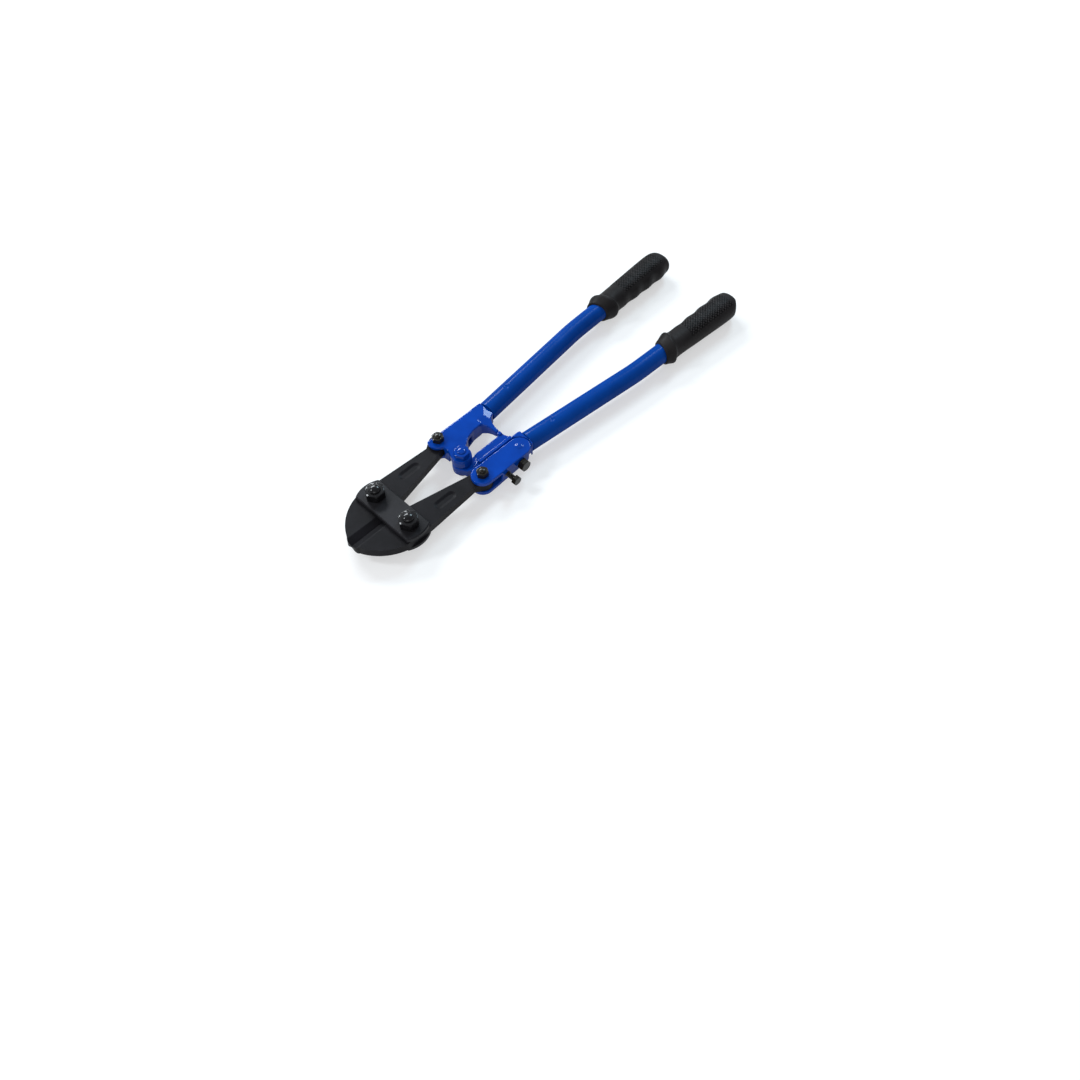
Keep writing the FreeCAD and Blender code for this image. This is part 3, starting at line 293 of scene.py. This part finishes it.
enamel = {
    "shader": {"Metallic": 0.0, "Specular IOR Level": 0.0, "Coat Weight": 0.15, "Coat Roughness": 0.20},
    "tones": ((0.0008, 0.038, 0.225), (0.0015, 0.050, 0.290)), "driftScale": 38.0,
    "roughness": (0.34, 0.44), "glossScale": 160.0,
    "grains": ((150.0, 0.00010, 0.16), (700.0, 0.00002, 0.2)),
}
forgedEnamel = {
    "shader": {"Metallic": 0.0, "Specular IOR Level": 0.0, "Coat Weight": 0.42, "Coat Roughness": 0.045},
    "tones": ((0.0004, 0.036, 0.265), (0.0010, 0.050, 0.355)), "driftScale": 45.0,
    "roughness": (0.34, 0.44), "glossScale": 160.0,
    "grains": ((75.0, 0.00035, 0.16), (330.0, 0.00006, 0.22)),
}
plateOxide = {
    "shader": {"Metallic": 0.0, "Specular IOR Level": 0.14},
    "tones": ((0.0085, 0.0082, 0.0096), (0.0190, 0.0182, 0.0212)), "driftScale": 55.0,
    "roughness": (0.40, 0.54), "glossScale": 240.0,
    "grains": ((420.0, 0.00008, 0.40), (1800.0, 0.00003, 0.45)),
}
jawOxide = {
    "shader": {"Metallic": 0.0, "Specular IOR Level": 0.085},
    "tones": ((0.0048, 0.0044, 0.0055), (0.0100, 0.0093, 0.0114)), "driftScale": 55.0,
    "roughness": (0.38, 0.50), "glossScale": 240.0,
    "grains": ((420.0, 0.00008, 0.40), (1800.0, 0.00003, 0.45)),
}
glossyOxide = {
    "shader": {"Metallic": 0.0, "Specular IOR Level": 0.10, "Coat Weight": 0.45, "Coat Roughness": 0.10},
    "tones": ((0.0030, 0.0030, 0.0036), (0.0075, 0.0072, 0.0080)), "driftScale": 180.0,
    "roughness": (0.26, 0.40), "glossScale": 500.0,
    "grains": ((500.0, 0.00003, 0.25), (2200.0, 0.00001, 0.3)),
}
oiledOxide = dict(glossyOxide, tones=((0.0050, 0.0042, 0.0028), (0.0130, 0.0105, 0.0068)))
rubber = {
    "shader": {"Metallic": 0.0, "Specular IOR Level": 0.055},
    "tones": ((0.0142, 0.0128, 0.0130), (0.0218, 0.0196, 0.0198)), "driftScale": 60.0,
    "roughness": (0.40, 0.54), "glossScale": 300.0,
    "grains": ((600.0, 0.00008, 0.3), (2800.0, 0.00003, 0.5)),
    # the colour's scale from the grooves' painted shade to the points' painted light
    "relief": (0.03, 1.97),
}
tubePaint = finishMaterial("tubeEnamel", enamel)
forgingPaint = finishMaterial("forgedEnamel", forgedEnamel)
plateSteel = finishMaterial("plateOxide", plateOxide)
jawSteel = finishMaterial("jawOxide", jawOxide)
boltSteel = finishMaterial("glossyOxide", glossyOxide)
tailSteel = finishMaterial("oiledOxide", oiledOxide)
gripRubber = finishMaterial("rubber", rubber)
print("materials made")


# head: plates and jaws

recess = {"floorHeight": 3.0 * mm, "flatness": 0.02 * mm, "alongShare": 0.80, "acrossShare": 0.42,
          "armEnd": 60 * mm}


def scoopRecesses(jaw):
    # the recess floors in both faces of the arm are drawn in to a narrow bottom, so that their walls slope
    for height in (middle + recess["floorHeight"], middle - recess["floorHeight"]):
        floor = [vertex for vertex in jaw.data.vertices
                 if abs(vertex.co.z - height) < recess["flatness"] and vertex.co.x < recess["armEnd"]]
        rear, front = min(vertex.co.x for vertex in floor), max(vertex.co.x for vertex in floor)
        halfway = (rear + front) / 2
        ends = []
        for part in (lambda x: x < halfway, lambda x: x > halfway):
            points = [vertex.co for vertex in floor if part(vertex.co.x)]
            ends.append(sum(points, Vector()) / len(points))
        centre, along = (ends[0] + ends[1]) / 2, (ends[1] - ends[0]).normalized()
        for vertex in floor:
            run = (vertex.co - centre).dot(along)
            side = vertex.co - centre - along * run
            vertex.co = centre + along * run * recess["alongShare"] + side * recess["acrossShare"]
        print(jaw.name, "recess scooped,", len(floor), "corners")


bladeEdge = {"width": 1.5 * mm, "steps": 5, "flatTilt": 0.999, "lowTilt": 0.45, "highTilt": 0.97, "start": 88 * mm}


def easeBladeEdges(jaw):
    # where the flats turn down into the blade's slopes the edge is ground off softly
    mesh = jaw.data
    facesOf = {}
    for face in mesh.polygons:
        for key in face.edge_keys:
            facesOf.setdefault(key, []).append(abs(face.normal.z))

    def turnsDown(edge):
        tilts = sorted(facesOf.get(tuple(sorted(edge.vertices)), []))
        if len(tilts) != 2 or tilts[1] < bladeEdge["flatTilt"]:
            return False
        rear = min(mesh.vertices[index].co.x for index in edge.vertices)
        return bladeEdge["lowTilt"] < tilts[0] < bladeEdge["highTilt"] and rear > bladeEdge["start"]

    found = selectWhere(jaw, "edges", turnsDown)
    print(jaw.name, "blade edges", found)
    bpy.ops.mesh.bevel(offset=bladeEdge["width"], segments=bladeEdge["steps"], profile=0.5,
                       clamp_overlap=True)
    bpy.ops.object.mode_set(mode="OBJECT")


def makeHead():
    for node, name in (("side_plate_top", "sidePlateTop"), ("side_plate_bottom", "sidePlateBottom")):
        plate = copyNode(node, name)
        softenEdges(plate, softEdge["plate"])
        settle(plate, [node], plateSteel)
    for node, name in (("jaw_left", "jawLeft"), ("jaw_right", "jawRight")):
        jaw = copyNode(node, name)
        scoopRecesses(jaw)
        easeBladeEdges(jaw)
        softenEdges(jaw, softEdge["jaw"], softEdge["jawAngle"], refill=False)
        settle(jaw, [node], jawSteel)


def makeFasteners():
    pieces = {
        "jaw_bolt_left": "jawBoltLeft", "jaw_bolt_right": "jawBoltRight",
        "jaw_nut_left": "jawNutLeft", "jaw_nut_right": "jawNutRight",
        "tail_bolt_left": "tailBoltLeft", "tail_bolt_right": "tailBoltRight",
        "tail_nut_left": "tailNutLeft", "tail_nut_right": "tailNutRight",
        "locking_nut": "lockingNut", "locking_screw": "lockingScrew",
        "adjusting_screw": "adjustingScrew", "centre_pivot_washers": "centrePivotWashers",
        "centre_pivot_bolt": "centrePivotBolt", "centre_pivot_nut": "centrePivotNut",
    }
    for node, name in pieces.items():
        piece = copyNode(node, name)
        if node == "adjusting_screw":
            addThread(piece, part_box(node))
        softenEdges(piece, softEdge["fastener"], refill="locking" not in node)
        finish = tailSteel if "tail" in node or "lock" in node or "adjusting" in node else boltSteel
        if slotOf[node] == "blue_paint":
            finish = forgingPaint
        settle(piece, [node], finish)


thread = {
    "pitch": 0.8 * mm, "root": 2.05 * mm, "crest": 2.48 * mm, "core": 1.9 * mm, "headDepth": 4.0 * mm,
    "tip": 0.7 * mm, "tipCut": 0.5 * mm, "coreShort": 0.2 * mm, "reachIn": 0.1 * mm,
    "ridgeTop": 1.45, "ridgeSlope": 3.2, "rings": 36, "rowsPerTurn": 8,
}


def addThread(screw, box):
    # the plain shank shrinks to a core and a sleeve with a wound ridge stands round it
    x, z = (box[0].x + box[1].x) / 2, middle
    tip, top = box[0].y, box[1].y - thread["headDepth"] + thread["reachIn"]
    for vertex in screw.data.vertices:
        away = Vector((vertex.co.x - x, 0, vertex.co.z - z))
        if away.length < thread["crest"] + thread["reachIn"] and vertex.co.y < top:
            away = away.normalized() * thread["core"]
            vertex.co = (x + away.x, max(vertex.co.y, tip + thread["coreShort"]), z + away.z)
    rowCount = round((top - tip) / thread["pitch"] * thread["rowsPerTurn"]) + 1
    sleeve = makeSleeve(screw.name + "Thread", thread["rings"], rowCount)

    def place(row, angle):
        along = (top - tip) * row / (rowCount - 1)
        turn = (along / thread["pitch"] - angle / (2 * math.pi)) % 1
        ridge = min(1, max(0, thread["ridgeTop"] - thread["ridgeSlope"] * abs(turn - 0.5)))
        radius = thread["root"] + (thread["crest"] - thread["root"]) * ridge
        radius -= thread["tipCut"] * (1 - smoothStep(0, thread["tip"], along))
        return Vector((x + radius * math.cos(angle), tip + along, z + radius * math.sin(angle)))

    shapeSleeve(sleeve, rowCount, place)
    for end in (tip, top):
        selectWhere(sleeve, "vertices", lambda vertex: abs(vertex.co.y - end) < 0.01 * mm)
        bpy.ops.mesh.edge_face_add()
    bpy.ops.mesh.select_all(action="SELECT")
    bpy.ops.mesh.normals_make_consistent(inside=False)
    activate(screw)
    sleeve.select_set(True)
    bpy.ops.object.join()


makeHead()
makeFasteners()
print("head and fasteners made")


# forged pieces: one skin over the node's shape, with its edges rounded by smoothing

def makeForged(nodes, name, look):
    piece = copyNode(nodes[0], name)
    for other in nodes[1:]:
        extra = copyNode(other, name + "Extra")
        activate(piece)
        extra.select_set(True)
        bpy.ops.object.join()
    applyModifier(piece, "skin", "REMESH", mode="VOXEL", voxel_size=look["voxel"], use_smooth_shade=True)
    applyModifier(piece, "smooth", "SMOOTH", factor=0.5, iterations=look["steps"])
    if "soft" in look:
        group = piece.vertex_groups.new(name="soft")
        for vertex in piece.data.vertices:
            weight = look["soft"](vertex.co)
            if weight > 0:
                group.add([vertex.index], weight, "REPLACE")
        applyModifier(piece, "softer", "SMOOTH", factor=0.5, iterations=look["softSteps"], vertex_group="soft")
        piece.vertex_groups.clear()
    activate(piece)
    bpy.ops.object.shade_smooth()
    return settle(piece, nodes, forgingPaint)


plainFork = {"facetFront": -44 * mm, "side": 15 * mm, "fade": 5 * mm, "lugShare": 0.45}


def plainSoftness(co):
    # the fork's outer side is rounder than its lug, the flat facet near the tube stays crisp
    if co.x < plainFork["facetFront"]:
        return 0
    return max(plainFork["lugShare"], min(1, (-co.y - plainFork["side"]) / plainFork["fade"]))


plainForging = {"voxel": 0.5 * mm, "steps": 9, "softSteps": 26, "soft": plainSoftness}
adjusterForging = {
    "voxel": 0.5 * mm, "steps": 7, "softSteps": 20,
    "soft": lambda co: smoothStep(13 * mm, 9 * mm, math.hypot(co.x, co.y)),  # the lug round the centre pivot
}
leverForging = {"voxel": 0.4 * mm, "steps": 16}
makeForged(["plain_handle_forging"], "plainHandleForging", plainForging)
makeForged(["adjuster_handle_forging"], "adjusterHandleForging", adjusterForging)
makeForged(["adjusting_lever", "adjusting_lever_pin"], "adjustingLever", leverForging)
print("forged pieces made")


# handles: tubes and grips follow one slightly bent line each

handleLine = {
    "start": (-55 * mm, 25.9 * mm), "frontAngle": 6.1, "rearAngle": 2.0,
    "straight": 125 * mm, "bendRadius": 250 * mm, "rear": 127.4 * mm,
}


def onHandle(side, s):
    # the point of a handle's line at a distance s behind the tube's front end, and its direction there
    front, rear = math.radians(handleLine["frontAngle"]), math.radians(handleLine["rearAngle"])
    straight, radius = handleLine["straight"], handleLine["bendRadius"]
    x, y = handleLine["start"]
    run = min(s, straight)
    x, y = x - run * math.cos(front), y + run * math.sin(front)
    angle = front
    if s > straight:
        angle = max(rear, front - (s - straight) / radius)
        x -= radius * (math.sin(front) - math.sin(angle))
        y += radius * (math.cos(angle) - math.cos(front))
        rest = s - straight - radius * (front - rear)
        if rest > 0:
            x, y = x - rest * math.cos(rear), y + rest * math.sin(rear)
    return Vector((x, side * y, middle)), Vector((-math.cos(angle), side * math.sin(angle), 0))


def placeRing(side, s, outward, up):
    # a point beside the handle's line: outward is away from the other handle
    point, along = onHandle(side, s)
    across = Vector((along.y * side, -along.x * side, 0))
    return point + across * outward + Vector((0, 0, up))


tube = {
    "radius": 9.5 * mm, "wall": 1.6 * mm, "length": 270.3 * mm, "round": 0.4 * mm, "rings": 96,
    "dimplePlace": 30 * mm, "dimpleReach": 2.6 * mm, "dimpleDepth": 0.7 * mm, "dimpleFall": 1.35,
    "closeReach": 5 * mm, "closeStep": 0.35 * mm, "frontRows": 5, "rearRows": 44,
}


def tubeRows():
    # close rows at the rounded ends and round the dimple, wide ones between
    length, edge = tube["length"], tube["round"]
    rounded = [edge * (1 - math.cos(math.radians(step * 22.5))) for step in range(5)]
    place = tube["dimplePlace"] - tube["closeReach"]
    rows = rounded + [edge + (place - edge) * step / tube["frontRows"] for step in range(1, tube["frontRows"])]
    while place < tube["dimplePlace"] + tube["closeReach"]:
        rows.append(place)
        place += tube["closeStep"]
    last = length - edge
    rows += [place + (last - place) * step / tube["rearRows"] for step in range(tube["rearRows"])]
    return rows + [length - depth for depth in reversed(rounded)]


def makeTube(node, name, side):
    rows = tubeRows()
    sleeve = makeSleeve(name, tube["rings"], len(rows))

    def place(row, angle):
        s = rows[round(row)]
        end = min(s, tube["length"] - s)
        radius = tube["radius"]
        if end < tube["round"]:
            depth = tube["round"] - end
            radius -= tube["round"] - math.sqrt(max(tube["round"] ** 2 - depth ** 2, 0))
        outward, up = radius * math.cos(angle), radius * math.sin(angle)
        if up > 0:
            away = math.hypot(s - tube["dimplePlace"], outward) / tube["dimpleReach"]
            if away < 1.25:
                up -= tube["dimpleDepth"] * math.exp(-(away * tube["dimpleFall"]) ** 4)
        return placeRing(side, s, outward, up)

    shapeSleeve(sleeve, len(rows), place)
    activate(sleeve)
    bpy.ops.object.mode_set(mode="EDIT")
    bpy.ops.mesh.select_all(action="SELECT")
    bpy.ops.mesh.normals_make_consistent(inside=False)
    bpy.ops.object.mode_set(mode="OBJECT")
    applyModifier(sleeve, "wall", "SOLIDIFY", thickness=tube["wall"] - tube["round"] * 0.4, offset=-1)
    smoothByAngle(sleeve, 40)
    return settle(sleeve, [node], tubePaint)


makeTube("handle_tube_left", "handleTubeLeft", 1)
makeTube("handle_tube_right", "handleTubeRight", -1)
print("tubes made")

# row of the grip in mm: distance behind its rim on the outer and inner side, half width, half height
gripRows = [
    (0.0, 6.0, 10.6, 10.6), (0.2, 6.3, 11.1, 11.1), (1.0, 7.2, 11.5, 11.5), (3.2, 10.0, 12.2, 12.2),
    (5.6, 13.6, 13.3, 13.3), (7.4, 16.4, 14.2, 14.2), (8.6, 18.2, 14.55, 14.55), (9.7, 19.5, 14.5, 14.5),
    (10.7, 20.6, 14.0, 13.9), (11.9, 21.8, 13.1, 13.0), (13.6, 23.4, 12.45, 12.3), (16.5, 26.0, 12.2, 12.0),
    (24.0, 30.0, 12.2, 11.9), (45.0, 45.0, 12.9, 12.3), (70.0, 70.0, 13.8, 12.7), (88.0, 88.0, 14.3, 12.9),
    (96.0, 96.0, 14.3, 12.7), (101.0, 101.0, 13.9, 12.1), (104.5, 104.5, 12.9, 11.0),
    (107.0, 107.0, 11.2, 9.3), (108.4, 108.4, 9.0, 7.2), (109.0, 109.0, 6.4, 5.0),
]
grip = {
    "start": 167.29 * mm, "rings": 168, "rows": 226, "squareness": 2.3, "fullness": 0.985,
    "fingerPitch": 19.5, "fingerDepth": 1.3, "fingerFrom": 30.0, "fingerTo": 108,
    "diamondLength": 3.7, "diamondWidth": 3.1, "diamondDepth": 0.75, "diamondSink": 0.25,
    "diamondFrom": 36.0, "diamondTo": 99.0, "bandMiddle": 1.0, "bandEdge": 10.5,
    "length": 109, "halfWidth": 14.3, "cornerCut": 9.0, "cornerRound": 6.0, "cornerFrom": 80,
    "endSteps": ((0.25, 0.72), (0.12, 0.6), (0.03, 0.5)), "rimStep": 0.02, "bore": 9.55, "boreDepth": 96.5,
    "samples": 4000,
}  # in mm, but for the start, which is behind the tube's front end, and the end's shares


def gripAt(share):
    # eased values between the listed rows
    spot = share * (len(gripRows) - 1)
    index = min(int(spot), len(gripRows) - 2)
    t = spot - index
    before = gripRows[max(index - 1, 0)]
    first, second = gripRows[index], gripRows[index + 1]
    after = gripRows[min(index + 2, len(gripRows) - 1)]
    values = []
    for a, b, c, d in zip(before, first, second, after):
        values.append(b + 0.5 * t * (c - a + t * (2 * a - 5 * b + 4 * c - d + t * (3 * (b - c) + d - a))))
    return values


def spreadRows():
    # shares at which the rows lie about evenly along the grip
    count = grip["samples"]
    fine = [step / count for step in range(count + 1)]
    lengths, last = [0.0], gripAt(0)
    for share in fine[1:]:
        now = gripAt(share)
        lengths.append(lengths[-1] + math.hypot((now[0] + now[1] - last[0] - last[1]) / 2, now[2] - last[2]))
        last = now
    shares, index = [], 0
    for row in range(grip["rows"]):
        target = lengths[-1] * row / (grip["rows"] - 1)
        while index < count and lengths[index] < target:
            index += 1
        shares.append(fine[index])
    return shares


def diamonds(along, across):
    u = along / grip["diamondLength"] + across / grip["diamondWidth"]
    v = along / grip["diamondLength"] - across / grip["diamondWidth"]
    away = max(abs(u % 1 - 0.5), abs(v % 1 - 0.5)) * 2
    return min(1, (1 - away) * 1.25)  # a point with a small flat top


def makeGrip(node, name, side):
    shares = spreadRows()
    sleeve = makeSleeve(name, grip["rings"], grip["rows"])
    paintedGrooveShade = []  # each vertex's height in the diamond pattern, half where the grip is plain; it paints shade into the grooves and light onto the points

    def place(row, angle):
        outer, inner, width, height = gripAt(shares[round(row)])
        cosine, sine = math.cos(angle), math.sin(angle)
        along = outer + (inner - outer) * (1 - cosine) / 2
        # a slightly squared oval
        power = grip["squareness"]
        reach = (abs(cosine) ** power + abs(sine) ** power) ** (-1 / power) * grip["fullness"]
        outward, up = width * cosine * reach, height * sine * reach
        # scallops for the fingers on the inner side
        first, last = grip["fingerFrom"], grip["fingerTo"]
        fingers = smoothStep(first, first + 6, along) * smoothStep(last, last - 8, along)
        wave = 0.5 - 0.5 * math.cos(2 * math.pi * (along - first - 3) / grip["fingerPitch"])
        outward += grip["fingerDepth"] * wave * fingers * max(0, -cosine) ** 1.5
        # diamonds in a band on top and underneath
        band = smoothStep(grip["bandEdge"], grip["bandEdge"] - 2, abs(outward - grip["bandMiddle"]))
        relief = diamonds(along, outward)
        patterned = band * smoothStep(grip["diamondFrom"], grip["diamondFrom"] + 2, along) \
            * smoothStep(grip["diamondTo"], grip["diamondTo"] - 2, along)
        paintedGrooveShade.append(0.5 + (relief - 0.5) * patterned)
        up += math.copysign((relief * grip["diamondDepth"] - grip["diamondSink"]) * patterned, sine)
        # the outer corner of the end is cut away and rounded
        cut = grip["cornerCut"]
        over = along - (grip["length"] - cut) + (outward - (grip["halfWidth"] - cut)) - cut
        push = 0.5 * (over + math.sqrt(over * over + grip["cornerRound"])) * 0.5
        if along > grip["cornerFrom"]:
            fade = smoothStep(grip["cornerFrom"], grip["cornerFrom"] + 12, along)
            along -= push * fade
            outward -= push * fade
        return placeRing(side, grip["start"] + along * mm, outward * mm, up * mm)

    rowOf = [round((0.5 - vertex.co.z) * (grip["rows"] - 1)) for vertex in sleeve.data.vertices]
    shapeSleeve(sleeve, grip["rows"], place)

    def selectRow(row):
        selectWhere(sleeve, "vertices",
                    lambda vertex: vertex.index < len(rowOf) and rowOf[vertex.index] == row)

    along = onHandle(side, grip["start"])[1]
    selectRow(grip["rows"] - 1)
    for push, scale in grip["endSteps"]:
        extrudeRing(along * push * mm, scale)
    bpy.ops.mesh.edge_face_add()
    selectRow(0)
    extrudeRing(-along * grip["rimStep"] * mm, grip["bore"] / gripRows[0][2])
    extrudeRing(along * grip["boreDepth"] * mm, 1)
    bpy.ops.mesh.edge_face_add()
    bpy.ops.mesh.select_all(action="SELECT")
    bpy.ops.mesh.normals_make_consistent(inside=False)
    bpy.ops.object.mode_set(mode="OBJECT")
    # the heights go to the rubber as painted shade in the grooves and painted light on the points
    relief = sleeve.data.attributes.new("relief", "FLOAT", "POINT")
    for index in range(len(sleeve.data.vertices)):
        relief.data[index].value = paintedGrooveShade[index] if index < len(paintedGrooveShade) else 0.5
    smoothByAngle(sleeve, 60)
    return settle(sleeve, [node], gripRubber)


makeGrip("grip_left", "gripLeft", 1)
makeGrip("grip_right", "gripRight", -1)
print("grips made")

# floor, light and camera

studio = {
    "floorSize": 8.0, "floorPlace": (-0.1, 0, -0.0001), "floorColour": (0.52, 0.52, 0.52, 1), "floorGlow": 0.50,
    "worldColour": (0.93, 0.95, 1.0, 1), "worldStrength": 0.36, "lampAim": (-0.05, 0, middle),
}
lamps = [
    # name, direction from the tool, distance, width and height, power, colour
    ("keyLight", (-0.22, -0.77, 0.585), 2.6, (1.55, 0.5), 54.0, (0.90, 0.96, 1.0)),
    ("jawPanel", (0.50, -0.50, 0.66), 2.4, (0.45, 0.45), 18.0, (0.90, 0.96, 1.0)),
    ("rearPanel", (-0.716, -0.231, 0.658), 2.4, (0.62, 0.62), 22.0, (0.66, 0.88, 1.0)),
    ("frontFill", (0.72, 0.52, 0.52), 2.6, (1.6, 1.6), 18.0, (0.97, 0.98, 1.0)),
]
camera = {
    "place": (0.4051, 0.4833, 0.7879), "turn": 43.774, "tilt": 48.007,
    "lens": 37.506, "sensor": 36, "shiftY": -0.12685, "clipStart": 0.01,
}

deselectAll()
bpy.ops.mesh.primitive_plane_add(size=studio["floorSize"], location=studio["floorPlace"])
floor = bpy.context.object
floor.name = "floor"
floorMaterial = bpy.data.materials.new("paleFloor")
floorMaterial.use_nodes = True
tree = floorMaterial.node_tree
tree.nodes.clear()
rays = tree.nodes.new("ShaderNodeLightPath")  # the glow shows to the camera and in reflections, and lights nothing
seen = tree.nodes.new("ShaderNodeMath")
seen.operation = "MAXIMUM"
seenToo = tree.nodes.new("ShaderNodeMath")
seenToo.operation = "MAXIMUM"
tree.links.new(rays.outputs["Is Camera Ray"], seen.inputs[0])
tree.links.new(rays.outputs["Is Glossy Ray"], seen.inputs[1])
tree.links.new(seen.outputs[0], seenToo.inputs[0])
tree.links.new(rays.outputs["Is Transmission Ray"], seenToo.inputs[1])
glow = tree.nodes.new("ShaderNodeMath")
glow.operation = "MULTIPLY"
glow.inputs[1].default_value = studio["floorGlow"]
tree.links.new(seenToo.outputs[0], glow.inputs[0])
emission = tree.nodes.new("ShaderNodeEmission")
tree.links.new(glow.outputs[0], emission.inputs["Strength"])
diffuse = addNode(tree, "ShaderNodeBsdfDiffuse", Color=studio["floorColour"])
both = tree.nodes.new("ShaderNodeAddShader")
tree.links.new(diffuse.outputs[0], both.inputs[0])
tree.links.new(emission.outputs[0], both.inputs[1])
output = tree.nodes.new("ShaderNodeOutputMaterial")
tree.links.new(both.outputs[0], output.inputs["Surface"])
floor.data.materials.append(floorMaterial)

world = bpy.data.worlds.new("studio")
bpy.context.scene.world = world
world.use_nodes = True
background = world.node_tree.nodes["Background"]
background.inputs["Color"].default_value = studio["worldColour"]
background.inputs["Strength"].default_value = studio["worldStrength"]

aim = Vector(studio["lampAim"])
for name, direction, distance, size, power, colour in lamps:
    lamp = bpy.data.lights.new(name, "AREA")
    lamp.energy = power
    lamp.color = colour
    lamp.shape = "RECTANGLE"
    lamp.size, lamp.size_y = size
    holder = bpy.data.objects.new(name, lamp)
    bpy.context.collection.objects.link(holder)
    towards = Vector(direction).normalized()
    holder.location = aim + towards * distance
    holder.rotation_mode = "QUATERNION"
    holder.rotation_quaternion = towards.to_track_quat("Z", "Y")

turn, tilt = math.radians(camera["turn"]), math.radians(camera["tilt"])
level = -math.cos(tilt)
looking = Vector((level * math.cos(turn), level * math.sin(turn), -math.sin(tilt)))
lens = bpy.data.cameras.new("camera")
lens.lens = camera["lens"]
lens.sensor_width = camera["sensor"]
lens.shift_y = camera["shiftY"]
lens.clip_start = camera["clipStart"]
eye = bpy.data.objects.new("camera", lens)
bpy.context.collection.objects.link(eye)
eye.location = camera["place"]
eye.rotation_mode = "QUATERNION"
eye.rotation_quaternion = looking.to_track_quat("-Z", "Y")
bpy.context.scene.camera = eye
bpy.context.scene.view_settings.view_transform = "Standard"
print("studio set")
